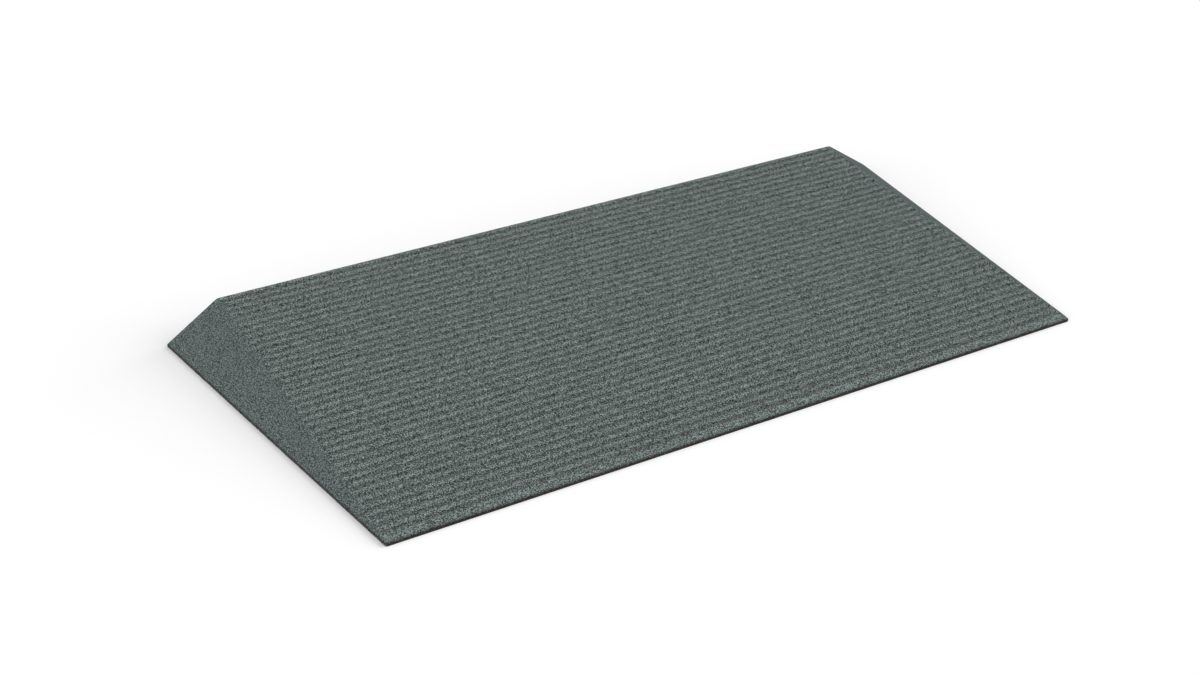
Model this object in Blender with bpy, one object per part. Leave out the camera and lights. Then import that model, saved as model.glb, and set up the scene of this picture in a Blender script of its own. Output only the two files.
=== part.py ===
"""Threshold ramp: a black rubber core faced with a ribbed deck layer and two
smooth side bevels, with adhesive tapes and their liners in recesses underneath.

Frame: +Z up, +Y from the low front edge to the high back face, +X across.
The origin is on the ground at the middle of the footprint. Units are metres.
"""

import math

import bmesh
import bpy
from mathutils import Vector

# Outside of the ramp
CLEAR_WIDTH = 0.9144          # ribbed surface, 36 inches, the same at front and back
LENGTH = 0.4950               # front edge to back face
RISE = 0.0485                 # height of the back crest
EDGE = 0.0040                 # height of the thin edge round the foot
BEVEL_RUN = 0.0670            # how far each side bevel spreads by the back face

# Coloured facing over the black core
CORE_EDGE = 0.0020            # height of the black edge that shows under the facing
FACING = 0.0050               # thickness of the facing at the back crest
GAP = 0.0003                  # clearance between pieces that touch
NOSING = 0.0014               # rounding of the front edge of the deck
CORNER_RADIUS = 0.0025        # rounding of the two front corners, seen from above
TIP_SETBACK = 0.0080          # the side bevel layers start this far behind the front edge

# Ribs of the deck, measured along the slope
RIB_PITCH = 0.0127            # half an inch
FIRST_GROOVE = 0.0180         # front edge to the middle of the first groove
GROOVE_MOUTH = 0.0070
GROOVE_FLOOR = 0.0054
GROOVE_DEPTH = 0.0013
GROOVE_COUNT = 38
PLAIN_MARGIN = 0.0036         # plain strip between the groove ends and each crest

# Adhesive tapes under the core
TAPE_WIDTH = 0.025
TAPE_THICKNESS = 0.0010
LINER_THICKNESS = 0.0003
LINER_TAB = 0.008             # the liner runs past one end of its tape, to be pulled
LINER_LIFT = 0.0001           # liners sit this far above the ground
FRONT_TAPE_INSET = 0.042      # front edge to the middle of the front tape
BACK_TAPE_INSET = 0.034       # back face to the middle of the back tape
SIDE_TAPE_X = 0.415           # middle of the side tapes from the middle of the ramp
FRONT_TAPE_LENGTH = 0.840
BACK_TAPE_LENGTH = 0.880
SIDE_TAPE_LENGTH = 0.340
CENTRE_TAPE_LENGTH = 0.740

FRONT_Y = -LENGTH / 2
BACK_Y = LENGTH / 2
HALF_CLEAR = CLEAR_WIDTH / 2
HALF_BACK = HALF_CLEAR + BEVEL_RUN
SLOPE = math.atan2(RISE - EDGE, LENGTH)
RECESS_DEPTH = LINER_LIFT + LINER_THICKNESS + TAPE_THICKNESS + 2 * GAP
ROUND_STEPS = 4
TOUCHING = 1e-6               # closer than this counts as on the same plane

BLACK_RUBBER = ("black_rubber", (0.030, 0.031, 0.029), 0.90)
RIBBED_RUBBER = ("ribbed_grey_green_rubber", (0.125, 0.150, 0.143), 0.88)
SMOOTH_RUBBER = ("smooth_grey_green_rubber", (0.105, 0.127, 0.124), 0.86)
TAPE_FOAM = ("white_foam_tape", (0.720, 0.720, 0.690), 0.75)
LINER_PAPER = ("yellow_release_paper", (0.780, 0.640, 0.330), 0.55)


def clear_scene():
    """Remove whatever objects the opened file holds."""
    for old in list(bpy.data.objects):
        bpy.data.objects.remove(old, do_unlink=True)


def make_collection(name):
    """A new collection linked under the scene's own."""
    collection = bpy.data.collections.new(name)
    bpy.context.scene.collection.children.link(collection)
    return collection


def make_material(finish):
    """A plain Principled material from a name, a linear colour and a roughness."""
    name, colour, roughness = finish
    material = bpy.data.materials.new(name)
    material.use_nodes = True
    shader = material.node_tree.nodes["Principled BSDF"]
    shader.inputs["Base Color"].default_value = (*colour, 1.0)
    shader.inputs["Roughness"].default_value = roughness
    shader.inputs["Metallic"].default_value = 0.0
    material.diffuse_color = (*colour, 1.0)
    return material


def add_object(name, shape, collection, material=None, place=(0.0, 0.0, 0.0)):
    """Turn a finished bmesh into a named object."""
    mesh = bpy.data.meshes.new(name)
    shape.to_mesh(mesh)
    shape.free()
    piece = bpy.data.objects.new(name, mesh)
    piece.location = place
    if material:
        mesh.materials.append(material)
    collection.objects.link(piece)
    return piece


def block(low, high):
    """A cube stretched between two corners."""
    shape = bmesh.new()
    bmesh.ops.create_cube(shape, size=1.0)
    low = Vector(low)
    high = Vector(high)
    size = high - low
    bmesh.ops.scale(shape, vec=size, verts=shape.verts)
    bmesh.ops.translate(shape, vec=(low + high) / 2, verts=shape.verts)
    return shape


def slice_off(shape, point, normal):
    """Cut a solid by a plane, drop what lies on the normal's side and close the cut."""
    geometry = list(shape.verts) + list(shape.edges) + list(shape.faces)
    cut = bmesh.ops.bisect_plane(
        shape,
        geom=geometry,
        dist=1e-7,
        plane_co=point,
        plane_no=normal,
        clear_outer=True,
    )
    rim = [item for item in cut["geom_cut"] if isinstance(item, bmesh.types.BMEdge)]
    open_rim = [edge for edge in rim if edge.is_boundary]
    bmesh.ops.contextual_create(shape, geom=open_rim)
    bmesh.ops.recalc_face_normals(shape, faces=shape.faces)


def plane_through(first, second, third):
    """A point and the upward normal of the plane through three points."""
    first = Vector(first)
    normal = (Vector(second) - first).cross(Vector(third) - first).normalized()
    if normal.z < 0:
        normal.negate()
    return first, normal


def deck_plane(front_height, back_height):
    """The ramp's slope, from a height at the front edge to one at the back face."""
    return plane_through(
        (-HALF_CLEAR, FRONT_Y, front_height),
        (HALF_CLEAR, FRONT_Y, front_height),
        (0.0, BACK_Y, back_height),
    )


def bevel_plane(side, foot_height, crest_height):
    """A side bevel: level along its flared foot, up to the crest at the back face."""
    return plane_through(
        (side * HALF_CLEAR, FRONT_Y, foot_height),
        (side * HALF_BACK, BACK_Y, foot_height),
        (side * HALF_CLEAR, BACK_Y, crest_height),
    )


def foot_plane(side):
    """The upright plane along the flared foot of a side bevel, facing outward."""
    point = Vector((side * HALF_CLEAR, FRONT_Y, 0.0))
    along = Vector((side * BEVEL_RUN, LENGTH, 0.0))
    normal = along.cross(Vector((0.0, 0.0, 1.0))) * side
    return point, normal.normalized()


def round_off(shape, edges, radius):
    """Round the given edges of a solid."""
    bmesh.ops.bevel(
        shape,
        geom=edges,
        offset=radius,
        segments=ROUND_STEPS,
        profile=0.5,
        affect="EDGES",
    )


def round_front_corners(shape):
    """Round the upright edges at the two ends of the front face."""
    corners = [
        edge
        for edge in shape.edges
        if all(abs(end.co.y - FRONT_Y) < TOUCHING for end in edge.verts)
        and abs(edge.verts[0].co.x - edge.verts[1].co.x) < TOUCHING
    ]
    round_off(shape, corners, CORNER_RADIUS)


def round_nosing(shape, point, normal):
    """Round the edges along the front of the sloping plane, round both corners too."""
    nosing = [
        edge
        for edge in shape.edges
        if all(abs((end.co - point).dot(normal)) < TOUCHING for end in edge.verts)
        and all(end.co.y < FRONT_Y + 2 * CORNER_RADIUS for end in edge.verts)
    ]
    round_off(shape, nosing, NOSING)


def build_core(parts, cutters, tape_beds, material):
    """The black wedge, cut from one block, with a recess under it for each tape."""
    shape = block((-HALF_BACK, FRONT_Y, 0.0), (HALF_BACK, BACK_Y, RISE))
    crest_height = RISE - FACING
    slice_off(shape, *deck_plane(CORE_EDGE, crest_height))
    for side in (-1, 1):
        slice_off(shape, *foot_plane(side))
        slice_off(shape, *bevel_plane(side, CORE_EDGE, crest_height))
    round_front_corners(shape)
    core = add_object("core_block", shape, parts, material)
    for name, low, high in tape_beds:
        bed = add_object(name + "_bed_cutter", block(low, high), cutters)
        bed.hide_render = True
        bed.display_type = "WIRE"
        cut = core.modifiers.new(name + "_bed", "BOOLEAN")
        cut.operation = "DIFFERENCE"
        cut.solver = "EXACT"
        cut.object = bed
    return core


def groove_cutters(cutters):
    """One bar for each groove: a box across the deck, narrowed towards its floor."""
    shape = bmesh.new()
    half_length = HALF_CLEAR - PLAIN_MARGIN
    overshoot = GROOVE_DEPTH
    widening = (GROOVE_MOUTH - GROOVE_FLOOR) / 2
    half_top = GROOVE_MOUTH / 2 + widening
    for number in range(GROOVE_COUNT):
        middle = FIRST_GROOVE + number * RIB_PITCH
        made = bmesh.ops.create_cube(shape, size=2.0)
        for corner in made["verts"]:
            half_width = half_top if corner.co.z > 0 else GROOVE_FLOOR / 2
            corner.co.x *= half_length
            corner.co.y = middle + corner.co.y * half_width
            corner.co.z = overshoot if corner.co.z > 0 else -GROOVE_DEPTH
    cutter = add_object("groove_cutters", shape, cutters, place=(0.0, FRONT_Y, EDGE))
    cutter.rotation_euler = (SLOPE, 0.0, 0.0)
    cutter.hide_render = True
    cutter.display_type = "WIRE"
    return cutter


def build_deck(parts, cutters, material):
    """The walking surface: a tapering sheet with a rounded nosing and the grooves."""
    half_width = HALF_CLEAR - GAP / 2
    shape = block((-half_width, FRONT_Y, 0.0), (half_width, BACK_Y, RISE + EDGE))
    slice_off(shape, *deck_plane(EDGE, RISE))
    under, upward = deck_plane(CORE_EDGE + GAP, RISE - FACING + GAP)
    slice_off(shape, under, -upward)
    round_front_corners(shape)
    round_nosing(shape, *deck_plane(EDGE, RISE))
    deck = add_object("deck_layer", shape, parts, material)
    cut = deck.modifiers.new("grooves", "BOOLEAN")
    cut.operation = "DIFFERENCE"
    cut.solver = "EXACT"
    cut.object = groove_cutters(cutters)
    return deck


def build_bevel(side, name, parts, material):
    """The smooth facing of one side, from the crest joint down to the flared foot."""
    inner = side * (HALF_CLEAR + GAP / 2)
    outer = side * HALF_BACK
    low = (min(inner, outer), FRONT_Y + TIP_SETBACK, 0.0)
    high = (max(inner, outer), BACK_Y, RISE)
    shape = block(low, high)
    slice_off(shape, *foot_plane(side))
    slice_off(shape, *bevel_plane(side, EDGE, RISE))
    under, upward = bevel_plane(side, CORE_EDGE + GAP, RISE - FACING + GAP)
    slice_off(shape, under, -upward)
    return add_object(name, shape, parts, material)


def tape_layout():
    """Each tape's name, middle and lengths across and along the ramp."""
    front_y = FRONT_Y + FRONT_TAPE_INSET
    back_y = BACK_Y - BACK_TAPE_INSET
    middle_y = (front_y + back_y) / 2
    return [
        ("front_tape", 0.0, front_y, FRONT_TAPE_LENGTH, TAPE_WIDTH),
        ("back_tape", 0.0, back_y, BACK_TAPE_LENGTH, TAPE_WIDTH),
        ("left_tape", -SIDE_TAPE_X, middle_y, TAPE_WIDTH, SIDE_TAPE_LENGTH),
        ("right_tape", SIDE_TAPE_X, middle_y, TAPE_WIDTH, SIDE_TAPE_LENGTH),
        ("centre_tape", 0.0, middle_y, CENTRE_TAPE_LENGTH, TAPE_WIDTH),
    ]


def build_tape(name, x, y, across, along, parts, tape_material, liner_material):
    """A tape and, under it, its release liner with a pull tab at one end."""
    tape_low = LINER_LIFT + LINER_THICKNESS + GAP
    tape_high = tape_low + TAPE_THICKNESS
    half_x = across / 2
    half_y = along / 2
    shape = block((-half_x, -half_y, tape_low), (half_x, half_y, tape_high))
    add_object(name, shape, parts, tape_material, place=(x, y, 0.0))
    tab_x = LINER_TAB if across > along else 0.0
    tab_y = 0.0 if across > along else LINER_TAB
    liner = block(
        (-half_x, -half_y, LINER_LIFT),
        (half_x + tab_x, half_y + tab_y, LINER_LIFT + LINER_THICKNESS),
    )
    add_object(name + "_liner", liner, parts, liner_material, place=(x, y, 0.0))
    bed_low = (x - half_x - GAP, y - half_y - GAP, -RECESS_DEPTH)
    bed_high = (x + half_x + tab_x + GAP, y + half_y + tab_y + GAP, RECESS_DEPTH)
    return name, bed_low, bed_high


def main():
    """Build every piece of the ramp."""
    clear_scene()
    parts = make_collection("threshold_ramp")
    cutters = make_collection("cutters")
    black = make_material(BLACK_RUBBER)
    ribbed = make_material(RIBBED_RUBBER)
    smooth = make_material(SMOOTH_RUBBER)
    foam = make_material(TAPE_FOAM)
    paper = make_material(LINER_PAPER)
    tape_beds = [
        build_tape(*layout, parts, foam, paper)
        for layout in tape_layout()
    ]
    build_core(parts, cutters, tape_beds, black)
    build_deck(parts, cutters, ribbed)
    build_bevel(-1, "left_bevel_layer", parts, smooth)
    build_bevel(1, "right_bevel_layer", parts, smooth)


main()
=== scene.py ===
"""Threshold ramp of bonded crumb rubber, surfaced, lit and framed for its picture.

Frame: metres, +Z up, +Y from the low front edge to the high back face, +X across.
Throughout, v is the distance behind the front edge.
"""

import math

import bpy
import numpy as np
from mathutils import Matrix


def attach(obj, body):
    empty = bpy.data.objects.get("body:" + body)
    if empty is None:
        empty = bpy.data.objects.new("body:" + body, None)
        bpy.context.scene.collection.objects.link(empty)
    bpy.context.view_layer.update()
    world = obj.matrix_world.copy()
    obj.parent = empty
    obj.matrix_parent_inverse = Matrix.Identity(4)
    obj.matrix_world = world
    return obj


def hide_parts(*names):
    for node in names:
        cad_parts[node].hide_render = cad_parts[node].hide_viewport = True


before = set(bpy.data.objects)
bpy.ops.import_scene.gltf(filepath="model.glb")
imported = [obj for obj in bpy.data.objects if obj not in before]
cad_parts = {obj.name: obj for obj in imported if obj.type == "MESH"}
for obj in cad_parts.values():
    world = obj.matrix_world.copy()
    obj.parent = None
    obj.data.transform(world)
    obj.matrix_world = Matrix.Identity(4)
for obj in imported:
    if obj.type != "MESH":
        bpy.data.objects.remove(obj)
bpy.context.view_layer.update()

# Outside of the ramp
HALF_CLEAR = 0.9144 / 2       # half the ribbed width, the same at front and back
LENGTH = 0.4950               # front edge to back face
RISE = 0.0485                 # height of the back crest
EDGE = 0.0040                 # height of the thin edge round the foot
BEVEL_RUN = 0.0670            # how far each side bevel spreads by the back face
FRONT_Y = -LENGTH / 2
BACK_Y = LENGTH / 2
HALF_BACK = HALF_CLEAR + BEVEL_RUN
SLOPE = math.atan2(RISE - EDGE, LENGTH)
FLARE = math.atan2(BEVEL_RUN, LENGTH)

# Facing over the core
CORE_EDGE = 0.0020            # height of the core at the foot
CORE_RISE = RISE - 0.0050     # height of the core at the back crest
BOND = 0.00005                # line of glue between two pieces
NOSING = 0.0014               # rounding of the front edge and of both feet
BACK_ROUNDING = 0.0003        # rounding of the crest at the back face
CREST_DROP = 0.0004           # height that the rounded side crests lose
CORNER_RADIUS = 0.0025        # rounding of the two front corners, seen from above
CORNER_REACH = 6 * CORNER_RADIUS    # how far back the deck's rows bend round a corner
# A corner's arc starts at this x on the front edge and ends this far back on the foot
CORNER_X = HALF_CLEAR + CORNER_RADIUS * (math.tan(FLARE) - 1 / math.cos(FLARE))
TIP = CORNER_RADIUS * (1 - math.sin(FLARE))
SHARP_ANGLE = math.radians(62)      # faces that meet at more than this show an edge

# Ribs, measured along the slope
RIB_PITCH = 0.0127
FIRST_GROOVE = 0.0177         # front edge to the middle of the first groove
GROOVE_COUNT = 38
GROOVE_DEPTH = 0.0013
GROOVE_MIDDLE = 0.0031        # middle of a groove to half way down its wall
WALL_RUN = 0.0010             # how far a wall leans over its whole depth
GROOVE_END = HALF_CLEAR - 0.0022
END_RUN = 0.0012              # how far a groove takes to rise at its end
END_ZONE = 0.0024             # strip of closer columns before each groove end

# Unevenness left by the crumbs
DECK_SEED = 11
BEVEL_SEED = 23
CORE_SEED = 5
CRUMB_NOISE = 0.00004         # height of the crumbs on the facing
RAGGED_EDGE = 0.00028         # how far points of a groove's walls stray
END_SCATTER = 0.0006          # how far a groove's end strays
DEPTH_SCATTER = 0.10          # share of a groove's depth that varies
CORE_ROUGHNESS = 0.0001       # how far points of the core's walls are set in

# Core
FOOT_ROUNDING = 0.0003        # rounding of the lower edges
BED_DRAFT = 0.0003            # how far the walls of a tape's recess lean
STRAIGHT_X = 0.4500           # columns run straight back up to here, and spread beyond

# Tapes under the core
TAPE_WIDTH = 0.025
TAPE_THICKNESS = 0.0010
LINER_THICKNESS = 0.0003
LINER_TAB = 0.008             # how far the liner runs past one end of its tape
LINER_LIFT = 0.0001           # how far the liner clears the ground
GAP = 0.0003                  # clearance on every side of a tape
RECESS_DEPTH = LINER_LIFT + LINER_THICKNESS + TAPE_THICKNESS + 2 * GAP
FRONT_TAPE_Y = FRONT_Y + 0.042
BACK_TAPE_Y = BACK_Y - 0.034
MIDDLE_TAPE_Y = (FRONT_TAPE_Y + BACK_TAPE_Y) / 2
SIDE_TAPE_X = 0.415
FRONT_TAPE_LENGTH = 0.840
BACK_TAPE_LENGTH = 0.880
SIDE_TAPE_LENGTH = 0.340
CENTRE_TAPE_LENGTH = 0.740
FOAM_STEP = 0.005             # spacing of the foam's points along the tape
FOAM_PINCH = 0.00015          # how far the foam's sides wave in
FOAM_WAVE = 0.047             # length of one such wave
FOAM_EDGE = 0.001             # width of the foam's softened edges
FOAM_SAG = 0.12               # how far they sag, as a share of a full rounding
PAPER_STEP = 0.004            # spacing of the liner's points along it
RIPPLE = 0.00003              # height of the liner's ripples
RIPPLE_LENGTH = 0.031
RIPPLE_SLANT = 40             # how far they lag across the liner, radians a metre
TAB_CURL = 0.0008             # how far the end of the tab bends up

# Crumb rubber of the facing: sizes, then linear colours with an alpha of 1
LARGE_CRUMB = 0.00160
SMALL_CRUMB = 0.00065
GRAIN = 0.0004
# The crevices between crumbs are painted shade: near-black colours that each crumb gives way to
# towards its edge
CREVICE_LIMIT = 0.68          # past this distance a crevice gets no darker, in crumbs
RIB_CREVICE_SHADE = (0.008, 0.009, 0.009, 1.0)
RIB_CRUMB = (0.514, 0.634, 0.619, 1.0)
RIB_CONTRAST = 0.74
# Painted shade: the grooves' colour is multiplied by this tint
GROOVE_SHADE_TINT = (0.712, 0.664, 0.646, 1.0)
MARGIN_TINT = (0.80, 0.80, 0.81, 1.0)
BEVEL_CREVICE_SHADE = (0.014, 0.017, 0.016, 1.0)
BEVEL_CRUMB = (0.386, 0.477, 0.476, 1.0)
BEVEL_CONTRAST = 0.64
NO_TINT = (1.0, 1.0, 1.0, 1.0)
WARM_TINT = (1.06, 0.99, 0.93, 1.0)
# Painted shade at the front edge and at the flared foot, the foot's colours paler by painted light
FRONT_SHADE_CREVICE = (0.016, 0.016, 0.014, 1.0)
FRONT_SHADE_CRUMB = (0.110, 0.114, 0.102, 1.0)
FOOT_SHADE_CREVICE = (0.024, 0.025, 0.023, 1.0)
FOOT_SHADE_CRUMB = (0.140, 0.147, 0.138, 1.0)

# Where the facing darkens: not at all at the first value, fully at the second. All but the margin's
# are painted shade
GROOVE_SHADING = (0.00030, 0.00100)                          # below the slope
MARGIN_SHADING = (GROOVE_END - 0.0008, GROOVE_END - 0.0002)  # across the ramp
FRONT_SHADING = (0.0050, -0.0024)                            # behind the front edge
FOOT_SHADING = (0.0018, -0.0007)                             # in from the flared foot
LOW_SHADING = (0.0041, 0.0033)                               # above the ground
# How far in from the foot the front edge's painted shade gives way to the foot's, paler by painted
# light
FOOT_SIDE = (0.0040, 0.0020)

# Floor and light
FLOOR_WHITE = (0.94, 0.94, 0.94, 1.0)
FLOOR_GLOW = 0.105            # added to the floor where it is seen directly
DOME = 0.50                   # strength of the dome where it isn't seen directly


def foot_x(v):
    """Half the width on the ground: it grows evenly with the distance from the front."""
    return HALF_CLEAR + BEVEL_RUN * v / LENGTH


def climb(x, v):
    """Share of the rise reached at a point: the lesser of the share of the length and the
    share of the bevel climbed, with a hyperbola rounding the crest between the two."""
    by_deck = v / LENGTH
    by_bevel = (foot_x(v) - np.abs(x)) / BEVEL_RUN
    blend = 2 * CREST_DROP / (RISE - EDGE)
    return (by_deck + by_bevel - np.hypot(by_deck - by_bevel, blend)) / 2


def rounded(distance, radius):
    """Height lost near an edge: the radius less the height of a quarter circle that starts
    upright at the edge and lies flat one radius in."""
    inward = np.clip(1 - distance / radius, 0, 1)
    return radius * (1 - np.sqrt(1 - inward**2))


def from_outline(x, v):
    """Distance from the front and foot edges, capped at the corner radius: the radius less
    the diagonal of how far the point falls short of it from each edge."""
    foot = (foot_x(v) - np.abs(x)) * math.cos(FLARE)
    short_of_front = np.clip(CORNER_RADIUS - v, 0, None)
    short_of_foot = np.clip(CORNER_RADIUS - foot, 0, None)
    return np.clip(CORNER_RADIUS - np.hypot(short_of_front, short_of_foot), 0, None)


def top_height(x, v):
    """Height of the facing: the foot's height plus the climb, less the rounded edges."""
    by_outline = rounded(from_outline(x, v), NOSING)
    by_back = rounded(LENGTH - v, BACK_ROUNDING)
    return EDGE + (RISE - EDGE) * climb(x, v) - np.maximum(by_outline, by_back)


def core_height(share):
    """Height of the core at a share of the climb, a straight line between its two ends."""
    return CORE_EDGE + (CORE_RISE - CORE_EDGE) * share


def quarter_turn(steps):
    """Distances from a rounded edge, as shares of its radius: one less the cosine of equal
    turns through a quarter circle."""
    return 1 - np.cos(np.linspace(0, math.pi / 2, steps))


def slowing(steps):
    """Shares above 0 up to 1, closer and closer together: the sine of equal turns through a
    quarter circle."""
    return np.sin(np.linspace(0, math.pi / 2, steps))[1:]


def crumb_relief(rng, shape):
    """Height of the crumbs at each point: normal numbers held within two deviations, and
    none on the rim, which meets the next piece."""
    relief = np.clip(rng.normal(size=shape), -2, 2) * CRUMB_NOISE
    relief[[0, -1]] = 0
    relief[:, [0, -1]] = 0
    return relief


def grid_faces(index):
    """One face for each cell of a grid of vertex numbers, rows first."""
    corners = (index[:-1, :-1], index[:-1, 1:], index[1:, 1:], index[1:, :-1])
    return np.stack(corners, axis=-1).reshape(-1, 4)


def rim(index):
    """The vertex numbers round a grid, anticlockwise as seen from its upper side."""
    return np.concatenate((index[0, :-1], index[:-1, -1], index[-1, :0:-1], index[:0:-1, 0]))


def add_piece(name, points, faces, material, node):
    """Make a mesh of points and faces and let it stand for a node of the frame."""
    mesh = bpy.data.meshes.new(name)
    mesh.from_pydata(points, [], faces)
    mesh.polygons.foreach_set("use_smooth", np.ones(len(mesh.polygons), dtype=bool))
    mesh.set_sharp_from_angle(angle=SHARP_ANGLE)
    mesh.materials.append(material)
    piece = bpy.data.objects.new(name, mesh)
    bpy.context.scene.collection.objects.link(piece)
    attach(piece, "root")
    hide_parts(node)


def plate(name, x, y, top, under, material, node, slot):
    """A sheet with a dense upper side: a grid of points at height top, walls down from its
    rim to height under, and one flat face across the bottom."""
    upper = np.stack((x, y, top), axis=-1).reshape(-1, 3)
    index = np.arange(len(upper)).reshape(x.shape)
    high = rim(index)
    low = np.arange(len(high)) + len(upper)
    lower = upper[high].copy()
    lower[:, 2] = under.ravel()[high]
    walls = np.stack((high, low, np.roll(low, -1), np.roll(high, -1)), axis=-1)
    faces = grid_faces(index).tolist() + walls.tolist() + [low[::-1].tolist()]
    points = np.concatenate((upper, lower)).tolist()
    add_piece(name, points, faces, material, node)


def block(name, x, y, top, bottom, levels, roughness, material, node, seed=0):
    """A solid between two grids of the same layout: its walls run from the rim of one to
    the rim of the other in equal levels, each point set in by a random part of roughness."""
    rng = np.random.default_rng(seed)
    upper = np.stack((x, y, top), axis=-1).reshape(-1, 3)
    lower = np.stack((x, y, bottom), axis=-1).reshape(-1, 3)
    index = np.arange(len(upper)).reshape(x.shape)
    edge = rim(index)
    along = np.roll(upper[edge], -1, axis=0) - np.roll(upper[edge], 1, axis=0)
    outward = np.stack((along[:, 1], -along[:, 0]), axis=-1)
    outward /= np.linalg.norm(outward, axis=1, keepdims=True)
    share = np.linspace(0, 1, levels + 1)[1:-1, None, None]
    between = upper[edge] + (lower[edge] - upper[edge]) * share
    inset = roughness * rng.random(between.shape[:2])
    between[..., :2] -= outward * inset[..., None]
    start = len(upper) + len(lower)
    middle = np.arange(start, start + between.shape[0] * between.shape[1])
    rings = np.vstack((edge, middle.reshape(between.shape[:2]), edge + len(upper)))
    rings = np.hstack((rings, rings[:, :1]))
    faces = np.concatenate((
        grid_faces(index),
        grid_faces(index[:, ::-1] + len(upper)),
        grid_faces(rings[::-1]),
    ))
    points = np.concatenate((upper, lower, between.reshape(-1, 3)))
    add_piece(name, points.tolist(), faces.tolist(), material, node)


def deck_columns():
    """The x of the deck's columns from side to side: evenly spaced, then closer together
    from just before the groove ends, and closest at the crest."""
    even = np.linspace(0, GROOVE_END - END_ZONE, 142)
    at_ends = np.linspace(GROOVE_END - END_ZONE, CORNER_X, 6)[1:]
    at_crest = CORNER_X + (HALF_CLEAR - BOND / 2 - CORNER_X) * slowing(6)
    half = np.concatenate((even, at_ends, at_crest))
    return np.concatenate((-half[:0:-1], half))


def ragged_walls(rng, shape):
    """How far each point of the grooves' walls strays along the slope. A normal number for
    each column and one summed over three columns are shared by a wall's whole height, and
    each point has a smaller one of its own."""
    grooves, _, columns = shape
    shift = np.zeros(shape)
    for wall in (slice(0, 3), slice(4, 7)):
        fine = rng.normal(size=(grooves, 1, columns))
        broad = rng.normal(size=(grooves, 1, columns))
        broad = (broad + np.roll(broad, 1, axis=2) + np.roll(broad, 2, axis=2)) / math.sqrt(3)
        own = rng.normal(size=(grooves, 3, columns))
        ragged = RAGGED_EDGE * (0.6 * fine + 0.6 * broad + 0.35 * own)
        shift[:, wall] = np.clip(ragged, -3 * RAGGED_EDGE, 3 * RAGGED_EDGE)
    return shift


def build_deck(material):
    """The ribbed facing. Rows follow the nosing, a plain band, each groove's two ragged walls
    and the back crest; at the front corners they bend back along a circle. Height is that of
    the ramp plus the crumbs, less the groove's depth, which fades at both ends by a smooth
    step."""
    rng = np.random.default_rng(DECK_SEED)
    wall = GROOVE_MIDDLE + WALL_RUN * np.linspace(0.5, -0.5, 3)
    offsets = np.concatenate((-wall, [0.0], wall[::-1], [RIB_PITCH / 2]))
    depths = GROOVE_DEPTH * np.array([0.0, 0.5, 1.0, 1.0, 1.0, 0.5, 0.0, 0.0])
    middles = FIRST_GROOVE + RIB_PITCH * np.arange(GROOVE_COUNT)
    nosing_rows = NOSING * quarter_turn(5)
    band_rows = np.linspace(NOSING, middles[0] - wall[0], 5)[1:-1]
    crest_rows = LENGTH - BACK_ROUNDING * quarter_turn(4)[::-1]
    columns = deck_columns()

    shape = (GROOVE_COUNT, len(offsets), len(columns))
    shift = ragged_walls(rng, shape)
    along_slope = middles[:, None, None] + offsets[None, :, None] + shift
    groove_rows = (along_slope * math.cos(SLOPE)).reshape(-1, len(columns))

    ends = GROOVE_END + END_SCATTER * rng.uniform(-1, 1, size=(GROOVE_COUNT, 1, 2))
    end_x = np.where(columns < 0, ends[..., :1], ends[..., 1:])
    fade = np.clip((end_x - np.abs(columns)) / END_RUN, 0, 1)
    fade = fade * fade * (3 - 2 * fade)
    uneven = 1 + DEPTH_SCATTER * rng.normal(size=shape)
    sunk = (depths[None, :, None] * fade * uneven).reshape(-1, len(columns))

    flat = np.ones(len(columns))
    before = np.outer(np.concatenate((nosing_rows, band_rows)), flat)
    v = np.concatenate((before, groove_rows, np.outer(crest_rows, flat)))
    depth = np.zeros(v.shape)
    depth[len(before):len(before) + len(sunk)] = sunk
    x = np.broadcast_to(columns, v.shape)
    past_corner = np.clip(np.abs(columns) - CORNER_X, 0, CORNER_RADIUS)
    set_back = CORNER_RADIUS - np.sqrt(CORNER_RADIUS**2 - past_corner**2)
    v = v + set_back * np.clip(1 - v / CORNER_REACH, 0, 1)

    top = top_height(x, v) - depth + crumb_relief(rng, v.shape)
    under = core_height(v / LENGTH) + BOND
    plate("deck_surface", x, v + FRONT_Y, top, under, material, "deck_layer", "ribbed_rubber")


def build_bevel(side, name, node, material):
    """A smooth side facing, side 1 on the right and -1 on the left. Columns lie between the
    flared foot and the crest, closer together at both; height is that of the ramp plus the
    crumbs."""
    rng = np.random.default_rng(BEVEL_SEED + side)
    slope_rows = np.linspace(TIP, LENGTH - BACK_ROUNDING, 150)
    crest_rows = LENGTH - BACK_ROUNDING * quarter_turn(4)[-2::-1]
    v = np.concatenate((slope_rows, crest_rows))[:, None]
    width = foot_x(v) - HALF_CLEAR - BOND / 2
    edge = NOSING * np.minimum(1, width / (3 * NOSING))
    near_foot = edge * quarter_turn(5)
    inner = edge + (width - edge) * slowing(30)
    inward = np.hstack((near_foot, inner))
    v = np.broadcast_to(v, inward.shape)
    x = foot_x(v) - inward
    top = top_height(x, v) + crumb_relief(rng, v.shape)
    under = core_height((foot_x(v) - x) / BEVEL_RUN) + BOND
    grids = (side * x, v + FRONT_Y, top, under)
    if side > 0:
        grids = [grid[:, ::-1] for grid in grids]
    plate(name, *grids, material, node, "smooth_rubber")


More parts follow.
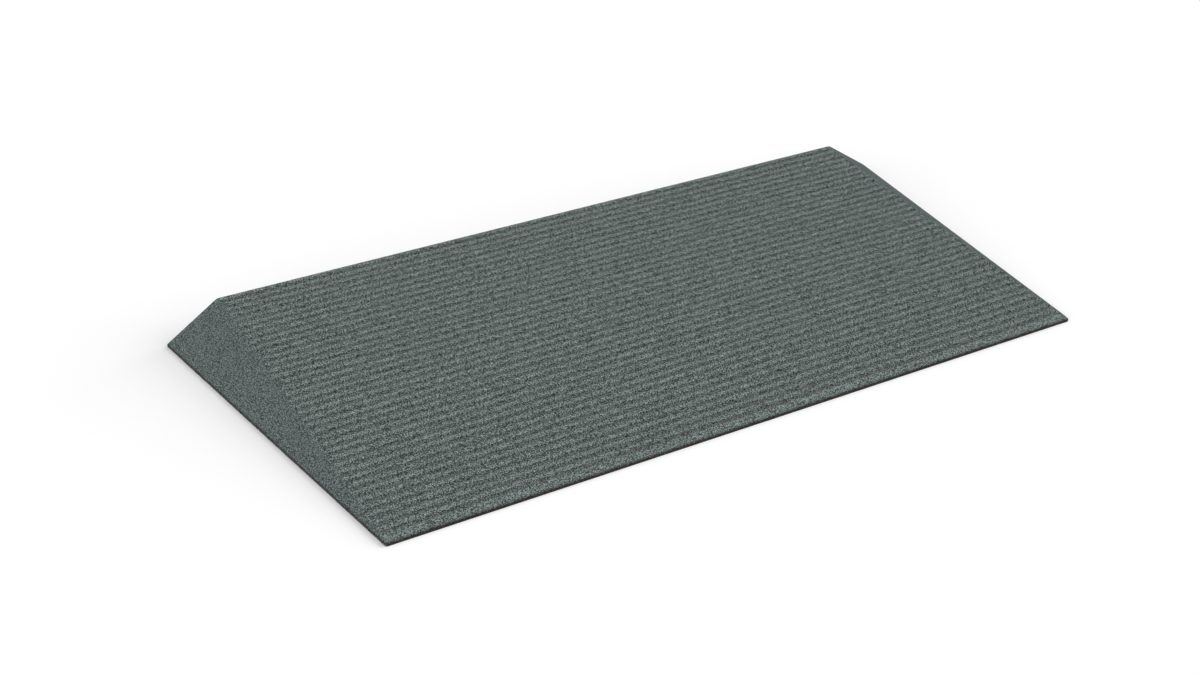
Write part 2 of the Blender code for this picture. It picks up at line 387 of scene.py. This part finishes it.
def tape_layout():
    """Each tape's name, middle and lengths across and along the ramp."""
    return [
        ("front_tape", 0.0, FRONT_TAPE_Y, FRONT_TAPE_LENGTH, TAPE_WIDTH),
        ("back_tape", 0.0, BACK_TAPE_Y, BACK_TAPE_LENGTH, TAPE_WIDTH),
        ("left_tape", -SIDE_TAPE_X, MIDDLE_TAPE_Y, TAPE_WIDTH, SIDE_TAPE_LENGTH),
        ("right_tape", SIDE_TAPE_X, MIDDLE_TAPE_Y, TAPE_WIDTH, SIDE_TAPE_LENGTH),
        ("centre_tape", 0.0, MIDDLE_TAPE_Y, CENTRE_TAPE_LENGTH, TAPE_WIDTH),
    ]


def tape_beds():
    """The lowest and highest x and y of the recess for each tape and its liner's tab."""
    beds = []
    for name, x, y, across, along in tape_layout():
        tab_x = LINER_TAB if across > along else 0.0
        tab_y = 0.0 if across > along else LINER_TAB
        low = (x - across / 2 - GAP, y - along / 2 - GAP)
        high = (x + across / 2 + tab_x + GAP, y + along / 2 + tab_y + GAP)
        beds.append((low, high))
    return beds


def core_grid(beds):
    """The x and v of the core's points. Each column is a straight line from a point of the
    front outline to a point of the back face; beyond STRAIGHT_X the columns spread over the
    flared sides, and the outermost start on the front corner's arc. Rows and columns come
    in pairs along the walls of the recesses."""
    bed_x = np.array([edge for low, high in beds for edge in (low[0], high[0])])
    bed_v = np.array([edge for low, high in beds for edge in (low[1], high[1])]) - FRONT_Y
    lean = np.array([-BED_DRAFT / 2, BED_DRAFT / 2])
    straight = np.concatenate((
        np.linspace(-STRAIGHT_X, STRAIGHT_X, 91),
        (bed_x[:, None] + lean).ravel(),
        (-bed_x[:, None] + lean).ravel(),
    ))
    straight = np.unique(np.round(straight, 6))

    fan = np.linspace(0, 1, 12)[1:]
    arc = math.pi / 2 - FLARE
    turned = np.linspace(0, arc, 9)[1:]
    # Columns that start on the arc keep their distance from the foot
    inset = CORNER_RADIUS * (1 - np.cos(arc - turned)) / math.cos(FLARE)
    first_inset = CORNER_RADIUS * (1 - math.cos(arc)) / math.cos(FLARE)
    fan_front = STRAIGHT_X + (CORNER_X - STRAIGHT_X) * fan
    fan_back = STRAIGHT_X + (HALF_BACK - first_inset - STRAIGHT_X) * fan
    corner_x = CORNER_X + CORNER_RADIUS * np.sin(turned)
    corner_v = CORNER_RADIUS * (1 - np.cos(turned))
    front_half = np.concatenate((fan_front, corner_x))
    back_half = np.concatenate((fan_back, HALF_BACK - inset))
    front_x = np.concatenate((-front_half[::-1], straight, front_half))
    back_x = np.concatenate((-back_half[::-1], straight, back_half))
    flat_v = np.zeros(len(straight) + 2 * len(fan))
    front_v = np.concatenate((corner_v[::-1], flat_v, corner_v))

    rows = np.concatenate((
        FOOT_ROUNDING * quarter_turn(4),
        np.linspace(0, LENGTH, 60)[1:-1],
        (bed_v[:, None] + lean).ravel(),
        LENGTH - FOOT_ROUNDING * quarter_turn(4),
    ))
    share = np.unique(np.round(rows, 6))[:, None] / LENGTH
    x = front_x + (back_x - front_x) * share
    v = front_v + (LENGTH - front_v) * share
    return x, v


def build_core(material):
    """The black wedge under the facing. Its top is the lesser of the share of the length and
    the share of the bevel climbed. The bottom is flat, with rounded edges and a recess with
    leaning walls for each tape."""
    beds = tape_beds()
    x, v = core_grid(beds)
    y = v + FRONT_Y
    bevel_share = (foot_x(v) - np.abs(x)) / BEVEL_RUN
    top = core_height(np.clip(np.minimum(v / LENGTH, bevel_share), 0, 1))

    bottom = rounded(np.minimum(from_outline(x, v), LENGTH - v), FOOT_ROUNDING)
    for low, high in beds:
        inside_x = np.minimum(x - low[0], high[0] - x) / BED_DRAFT + 0.5
        inside_y = np.minimum(y - low[1], high[1] - y) / BED_DRAFT + 0.5
        inside = np.clip(np.minimum(inside_x, inside_y), 0, 1)
        bottom = np.maximum(bottom, RECESS_DEPTH * inside)
    block(
        "core_body", x, y, top, bottom, 12, CORE_ROUGHNESS,
        material, "core_block", seed=CORE_SEED,
    )


def build_tape(name, x, y, across, along, foam, paper):
    """A strip of foam tape whose sides wave in and out by a sine. Under it lies the liner, a
    paper strip with faint ripples, a sine along it times a cosine across, whose tab bends up
    by the square of the distance past the tape."""
    rng = np.random.default_rng(len(name))
    lengthwise = across > along
    length = max(across, along)
    tape_low = LINER_LIFT + LINER_THICKNESS + GAP
    sides = np.linspace(-0.5, 0.5, 9) * TAPE_WIDTH

    def strip(label, run, side, low, high, levels, material, node):
        grid_x, grid_y = (run, side) if lengthwise else (-side, run)
        block(label, grid_x + x, grid_y + y, high, low, levels, 0.0, material, node)

    steps = int(length / FOAM_STEP)
    run, side = np.meshgrid(np.linspace(-0.5, 0.5, steps) * length, sides)
    wave = np.sin(run * 2 * math.pi / FOAM_WAVE + rng.uniform(0, 6))
    pinch = FOAM_PINCH * (0.5 + 0.5 * wave)
    wavy = side * (1 - 2 * pinch / TAPE_WIDTH)
    edge_distance = np.minimum(TAPE_WIDTH / 2 - np.abs(side), length / 2 - np.abs(run))
    sag = FOAM_SAG * rounded(edge_distance, FOAM_EDGE)
    high = tape_low + TAPE_THICKNESS - sag
    low = np.full(run.shape, tape_low) + sag
    strip(name + "_foam", run, wavy, low, high, 3, foam, name)

    steps = int((length + LINER_TAB) / PAPER_STEP)
    run, side = np.meshgrid(np.linspace(-length / 2, length / 2 + LINER_TAB, steps), sides)
    ripple = RIPPLE * np.sin(run * 2 * math.pi / RIPPLE_LENGTH + side * RIPPLE_SLANT)
    ripple = ripple * np.cos(side * 2 * math.pi / TAPE_WIDTH)
    past = np.clip(run - length / 2, 0, None)
    curl = TAB_CURL * (past / LINER_TAB) ** 2
    low = LINER_LIFT + RIPPLE + ripple + curl
    high = low + LINER_THICKNESS - 2 * RIPPLE
    strip(name + "_paper", run, side, low, high, 1, paper, name + "_liner")


class Wire:
    """An output of a node. Arithmetic on it adds Math nodes."""

    def __init__(self, bench, socket):
        self.bench = bench
        self.socket = socket

    def __add__(self, other):
        return self.bench.math("ADD", self, other)

    def __sub__(self, other):
        return self.bench.math("SUBTRACT", self, other)

    def __mul__(self, other):
        return self.bench.math("MULTIPLY", self, other)

    def __pow__(self, other):
        return self.bench.math("POWER", self, other)

    def __rsub__(self, other):
        return self.bench.math("SUBTRACT", other, self)

    __radd__ = __add__
    __rmul__ = __mul__


class Bench:
    """A node tree on which a finish is written as Python expressions."""

    def __init__(self, tree):
        self.tree = tree

    def feed(self, socket, value):
        """Link a wire to a socket, or set the socket's own value."""
        if isinstance(value, Wire):
            self.tree.links.new(value.socket, socket)
        else:
            socket.default_value = value

    def node(self, kind, settings=None, sockets=None, output=0):
        """Add a node, set its settings, then feed its sockets; returns one output."""
        made = self.tree.nodes.new(kind)
        for name, value in (settings or {}).items():
            setattr(made, name, value)
        for name, value in (sockets or {}).items():
            self.feed(made.inputs[name], value)
        return Wire(self, made.outputs[output])

    def outputs(self, wire):
        """Every output of the node that a wire comes from."""
        return [Wire(self, output) for output in wire.socket.node.outputs]

    def math(self, operation, first, second=0.0):
        """A Math node."""
        return self.node("ShaderNodeMath", {"operation": operation}, {0: first, 1: second})

    def vector(self, operation, sockets):
        """A Vector Math node."""
        return self.node("ShaderNodeVectorMath", {"operation": operation}, sockets)

    def clamp(self, value):
        """The value held between 0 and 1."""
        return self.node("ShaderNodeClamp", None, {"Value": value})

    def ramp(self, value, none, full):
        """0 up to the limit none, 1 from the limit full on, a smooth step between them."""
        settings = {"interpolation_type": "SMOOTHSTEP"}
        sockets = {"Value": value, "From Min": none, "From Max": full, "To Min": 0.0, "To Max": 1.0}
        return self.node("ShaderNodeMapRange", settings, sockets)

    def mix(self, factor, first, second):
        """A colour between two others."""
        settings = {"data_type": "RGBA", "blend_type": "MIX"}
        return self.node("ShaderNodeMix", settings, {0: factor, 6: first, 7: second}, output=2)

    def tint(self, colour, other):
        """Two colours multiplied."""
        settings = {"data_type": "RGBA", "blend_type": "MULTIPLY"}
        return self.node("ShaderNodeMix", settings, {0: 1.0, 6: colour, 7: other}, output=2)

    def place(self):
        """The point on the object, in metres."""
        return self.node("ShaderNodeTexCoord", output="Object")

    def coordinates(self, place):
        """The x, y and z of a place."""
        return self.outputs(self.node("ShaderNodeSeparateXYZ", None, {0: place}))

    def crumbs(self, place, size):
        """Cells of a size: three random numbers of each cell's own, and how far the place
        is from the cell's middle, in cells."""
        cells = self.node("ShaderNodeTexVoronoi", None, {"Vector": place, "Scale": 1 / size})
        distance, colour = self.outputs(cells)[:2]
        numbers = self.outputs(self.node("ShaderNodeSeparateColor", None, {0: colour}))
        return [*numbers, distance]

    def noise(self, place, size, detail=2.0, roughness=0.5):
        """Smooth noise of a size, from 0 to 1 about 0.5."""
        sockets = {"Vector": place, "Scale": 1 / size, "Detail": detail, "Roughness": roughness}
        return self.node("ShaderNodeTexNoise", None, sockets)

    def shaken(self, place, size, reach):
        """The place moved about by smooth noise, so that cells lose their straight sides."""
        sockets = {"Vector": place, "Scale": 1 / size, "Detail": 1.0}
        wander = self.node("ShaderNodeTexNoise", None, sockets, output="Color")
        centred = self.vector("SUBTRACT", {0: wander, 1: (0.5, 0.5, 0.5)})
        scaled = self.vector("SCALE", {0: centred, "Scale": 2 * reach})
        return self.vector("ADD", {0: place, 1: scaled})


def new_finish(name, specular):
    """A material with one Principled shader, and the bench to write it on."""
    material = bpy.data.materials.new(name)
    material.use_nodes = True
    shader = material.node_tree.nodes["Principled BSDF"]
    shader.inputs["Specular IOR Level"].default_value = specular
    return material, shader, Bench(material.node_tree)


def set_surface(bench, shader, colour, roughness, relief, depth):
    """Feed a shader its colour, its roughness and the bump of a relief of a depth."""
    bench.feed(shader.inputs["Base Color"], colour)
    bench.feed(shader.inputs["Roughness"], roughness)
    sockets = {"Strength": 1.0, "Distance": depth, "Height": relief}
    bench.feed(shader.inputs["Normal"], bench.node("ShaderNodeBump", None, sockets))


def edge_distances(b, x, y):
    """How far a point lies behind the front edge, and how far in from the flared foot."""
    from_front = y - FRONT_Y
    from_foot = HALF_CLEAR + BEVEL_RUN / LENGTH * from_front - b.math("ABSOLUTE", x)
    return from_front, from_foot


def crumb_rubber(name, crevice_shade_colour, crumb_colour, contrast, groove_shade_tint=None):
    """Bonded crumbs of two sizes with near-black crevices between them, painted shade. The
    crumb colour's share is the square of a half plus the contrast times the crumbs' random
    tones and a fine grain, less the distances from their middles, held at CREVICE_LIMIT.
    Painted shade darkens the grooves, the front edge and the flared foot, paler at the foot by
    painted light; the strips past the groove ends are darker too. The relief is a dome on
    each crumb, one less the square of that distance, and a random level."""
    material, shader, b = new_finish(name, specular=0.0)
    place = b.place()
    loose = b.shaken(place, size=0.0012, reach=0.0003)
    tone, hue, level, middle = b.crumbs(loose, LARGE_CRUMB)
    small_tone, small_hue, small_level, small_middle = b.crumbs(loose, SMALL_CRUMB)
    grain = b.noise(place, GRAIN)
    mixed = 0.15 * (tone - 0.5) + 0.30 * (small_tone - 0.5) + 0.15 * (grain - 0.5)
    deep = b.math("MINIMUM", middle, CREVICE_LIMIT)
    small_deep = b.math("MINIMUM", small_middle, CREVICE_LIMIT)
    crevice_shade = 1.30 * (deep - 0.5) + 0.60 * (small_deep - 0.5)
    share = b.clamp(0.5 + contrast * (mixed - crevice_shade)) ** 2
    colour = b.mix(share, crevice_shade_colour, crumb_colour)
    colour = b.tint(colour, b.mix(0.5 * hue, NO_TINT, WARM_TINT))

    x, y, z = b.coordinates(place)
    # Painted shade in the grooves
    if groove_shade_tint:
        sunk = (EDGE - z + math.tan(SLOPE) * (y - FRONT_Y)) * math.cos(SLOPE)
        groove_shade = b.ramp(sunk + 0.0003 * (tone - 0.5), *GROOVE_SHADING)
        colour = b.mix(groove_shade, colour, b.tint(colour, groove_shade_tint))
        across = b.math("ABSOLUTE", x) + 0.0006 * (small_tone - 0.5)
        margin = b.ramp(across, *MARGIN_SHADING)
        colour = b.mix(margin, colour, b.tint(colour, MARGIN_TINT))
    # Painted shade behind the front edge, at the flared foot and low down, paler at the foot by
    # painted light
    from_front, from_foot = edge_distances(b, x, y)
    front_shade_mask = b.ramp(from_front, *FRONT_SHADING)
    foot_shade_mask = b.ramp(from_foot, *FOOT_SHADING)
    low = b.ramp(z + 0.0004 * (small_tone - 0.5), *LOW_SHADING)
    edge_shade_share = b.math("MAXIMUM", low, b.math("MAXIMUM", front_shade_mask, foot_shade_mask))
    front_shade = b.mix(share, FRONT_SHADE_CREVICE, FRONT_SHADE_CRUMB)
    foot_shade = b.mix(share, FOOT_SHADE_CREVICE, FOOT_SHADE_CRUMB)
    foot_light_share = b.ramp(from_foot, *FOOT_SIDE)
    colour = b.mix(edge_shade_share, colour, b.mix(foot_light_share, front_shade, foot_shade))

    relief = 0.55 * (1 - middle * middle) + 0.30 * level + 0.15 * small_level
    relief = relief + 0.20 * (1 - small_middle * small_middle)
    roughness = 0.86 + 0.12 * (small_hue - 0.5)
    set_surface(b, shader, colour, roughness, relief, depth=0.00022)
    return material


def core_rubber():
    """Nearly black crumbs with a few grey ones, and a dusty bloom in broad patches. The front
    edge is darker still by painted shade, and crumbs low on the flared sides are paler grey
    by painted light."""
    black = (0.010, 0.010, 0.009, 1.0)
    charcoal = (0.074, 0.076, 0.069, 1.0)
    grey_crumb = (0.125, 0.150, 0.143, 1.0)
    bloom = (0.085, 0.083, 0.076, 1.0)
    # Tint of the painted shade on the front edge
    front_shade_tint = (0.5, 0.5, 0.5, 1.0)
    # Colours of the painted light low on the flared sides
    foot_light_crevice = (0.14, 0.14, 0.134, 1.0)
    foot_light_crumb = (0.42, 0.42, 0.40, 1.0)

    material, shader, b = new_finish("core_rubber", specular=0.35)
    place = b.place()
    loose = b.shaken(place, size=0.0026, reach=0.0006)
    tone, hue, level, middle = b.crumbs(loose, size=0.0023)
    small_tone, _, _, small_middle = b.crumbs(loose, size=0.0011)
    dust = b.ramp(b.noise(place, size=0.045, detail=4.0, roughness=0.6), 0.40, 0.75)
    # The share falls towards each crumb's edge: painted shade in the crevices between crumbs
    share = b.clamp(0.5 + 1.6 * (0.5 * tone + 0.4 * small_tone + 0.1 - 0.5 * middle - 0.25))
    colour = b.mix(share, black, charcoal)
    colour = b.mix(b.ramp(hue, 0.94, 0.99), colour, grey_crumb)
    colour = b.mix(0.30 * dust, colour, bloom)

    x, y, z = b.coordinates(place)
    from_front, from_foot = edge_distances(b, x, y)
    # Painted shade on the core's front edge
    core_front_shade = b.ramp(from_front, 0.0020, 0.0008)
    colour = b.mix(core_front_shade, colour, b.tint(colour, front_shade_tint))
    # Painted light: crumbs low on the flared sides turn paler grey
    foot_painted_light = b.ramp(from_foot, 0.0030, 0.0010) * b.ramp(z, 0.0030, 0.0004)
    foot_painted_light = foot_painted_light * (0.2 + 0.8 * b.ramp(small_tone, 0.30, 0.60))
    colour = b.mix(foot_painted_light, colour, b.mix(share, foot_light_crevice, foot_light_crumb))

    relief = 0.6 * (1 - middle * middle) + 0.35 * level + 0.15 * (1 - small_middle * small_middle)
    set_surface(b, shader, colour, 0.84 + 0.10 * dust, relief, depth=0.00040)
    return material


def tape_foam():
    """White foam with fine cells and faint grey clouds."""
    cloudy = (0.60, 0.60, 0.56, 1.0)
    white = (0.78, 0.78, 0.75, 1.0)
    material, shader, b = new_finish("tape_foam", specular=0.3)
    place = b.place()
    tone, _, _, middle = b.crumbs(place, size=0.0006)
    cloud = b.noise(place, size=0.020, detail=3.0)
    colour = b.mix(0.5 * tone + 0.5 * cloud, cloudy, white)
    relief = 1 - middle * middle
    set_surface(b, shader, colour, 0.70 + 0.15 * tone, relief, depth=0.00010)
    return material


def liner_paper():
    """Yellow coated paper: fine fibres, paler scuffs and shallow creases."""
    ochre = (0.66, 0.50, 0.20, 1.0)
    yellow = (0.84, 0.70, 0.38, 1.0)
    cream = (0.90, 0.80, 0.55, 1.0)
    material, shader, b = new_finish("liner_paper", specular=0.45)
    place = b.place()
    fibre = b.noise(place, size=0.0008, detail=4.0, roughness=0.7)
    scuff = b.ramp(b.noise(place, size=0.015, detail=5.0, roughness=0.65), 0.52, 0.72)
    crease = b.noise(place, size=0.006, detail=3.0)
    colour = b.mix(fibre, ochre, yellow)
    colour = b.mix(0.4 * scuff, colour, cream)
    relief = 0.3 * fibre + crease
    set_surface(b, shader, colour, 0.42 + 0.25 * scuff, relief, depth=0.00020)
    return material


def build_floor():
    """A wide white floor that keeps the ramp's shadow, paler where it is seen directly."""
    half = 30.0
    height = -0.0001
    corners = ((-half, -half), (half, -half), (half, half), (-half, half))
    mesh = bpy.data.meshes.new("floor")
    mesh.from_pydata([(x, y, height) for x, y in corners], [], [(0, 1, 2, 3)])
    floor = bpy.data.objects.new("floor", mesh)
    bpy.context.scene.collection.objects.link(floor)
    material = bpy.data.materials.new("floor_white")
    material.use_nodes = True
    tree = material.node_tree
    tree.nodes.remove(tree.nodes["Principled BSDF"])
    b = Bench(tree)
    diffuse = b.node("ShaderNodeBsdfDiffuse", None, {"Color": FLOOR_WHITE})
    glow = b.node("ShaderNodeEmission", None, {"Strength": FLOOR_GLOW * directly_seen(b)})
    both = b.node("ShaderNodeAddShader", None, {0: diffuse, 1: glow})
    b.feed(tree.nodes["Material Output"].inputs["Surface"], both)
    mesh.materials.append(material)
    return floor


def directly_seen(b):
    """1 for rays from the camera and for mirror-like and see-through ones, otherwise 0."""
    camera = b.node("ShaderNodeLightPath", output="Is Camera Ray")
    glossy = b.node("ShaderNodeLightPath", output="Is Glossy Ray")
    through = b.node("ShaderNodeLightPath", output="Is Transmission Ray")
    return b.math("MAXIMUM", b.math("MAXIMUM", camera, glossy), through)


def build_light(floor):
    """A plain dome, white where it is seen, a broad lamp overhead that lights the ramp, and
    two low lamps that light the floor and lay the ramp's soft shadow on it."""
    world = bpy.data.worlds.new("studio")
    bpy.context.scene.world = world
    world.use_nodes = True
    b = Bench(world.node_tree)
    background = world.node_tree.nodes["Background"]
    background.inputs["Color"].default_value = (1.0, 1.0, 1.0, 1.0)
    b.feed(background.inputs["Strength"], DOME + (1 - DOME) * directly_seen(b))
    ramp_only = lit_by_it("ramp_only", floor, "EXCLUDE")
    floor_only = lit_by_it("floor_only", floor, "INCLUDE")
    add_lamp("overhead_lamp", ramp_only, azimuth=51, elevation=85, width=90, energy=1.577)
    add_lamp("right_lamp", floor_only, azimuth=75, elevation=15, width=60, energy=3.75)
    add_lamp("left_lamp", floor_only, azimuth=-75, elevation=15, width=60, energy=1.45)


def lit_by_it(name, floor, state):
    """A list of what a lamp lights: the floor alone, or all but the floor."""
    group = bpy.data.collections.new(name)
    group.objects.link(floor)
    group.collection_objects[0].light_linking.link_state = state
    return group


def add_lamp(name, receivers, azimuth, elevation, width, energy):
    """A broad soft lamp, width degrees across: azimuth 0 is in front of the ramp and 90 is
    on its right."""
    lamp = bpy.data.lights.new(name, "SUN")
    lamp.energy = energy
    lamp.angle = math.radians(width)
    holder = bpy.data.objects.new(name, lamp)
    holder.rotation_euler = (math.radians(90 - elevation), 0.0, math.radians(azimuth))
    holder.light_linking.receiver_collection = receivers
    bpy.context.scene.collection.objects.link(holder)


def build_camera():
    """The camera at the photograph's place."""
    pitch_down = 29.981
    turn_right = 30.056
    data = bpy.data.cameras.new("camera")
    data.lens = 50.121
    data.sensor_width = 36.0
    data.clip_start = 0.05
    data.clip_end = 100.0
    camera = bpy.data.objects.new("camera", data)
    camera.location = (-0.9421, -1.5115, 1.0124)
    camera.rotation_euler = (math.radians(90 - pitch_down), 0.0, math.radians(-turn_right))
    bpy.context.scene.collection.objects.link(camera)
    bpy.context.scene.camera = camera


def main():
    """Dress the ramp, light it and frame it."""
    ribbed = crumb_rubber("ribbed_rubber", RIB_CREVICE_SHADE, RIB_CRUMB, RIB_CONTRAST, GROOVE_SHADE_TINT)
    smooth = crumb_rubber("smooth_rubber", BEVEL_CREVICE_SHADE, BEVEL_CRUMB, BEVEL_CONTRAST)
    black = core_rubber()
    foam = tape_foam()
    paper = liner_paper()
    build_deck(ribbed)
    build_bevel(-1, "left_bevel_surface", "left_bevel_layer", smooth)
    build_bevel(1, "right_bevel_surface", "right_bevel_layer", smooth)
    build_core(black)
    for layout in tape_layout():
        build_tape(*layout, foam, paper)
    build_light(build_floor())
    build_camera()
    bpy.context.scene.view_settings.view_transform = "Standard"


main()
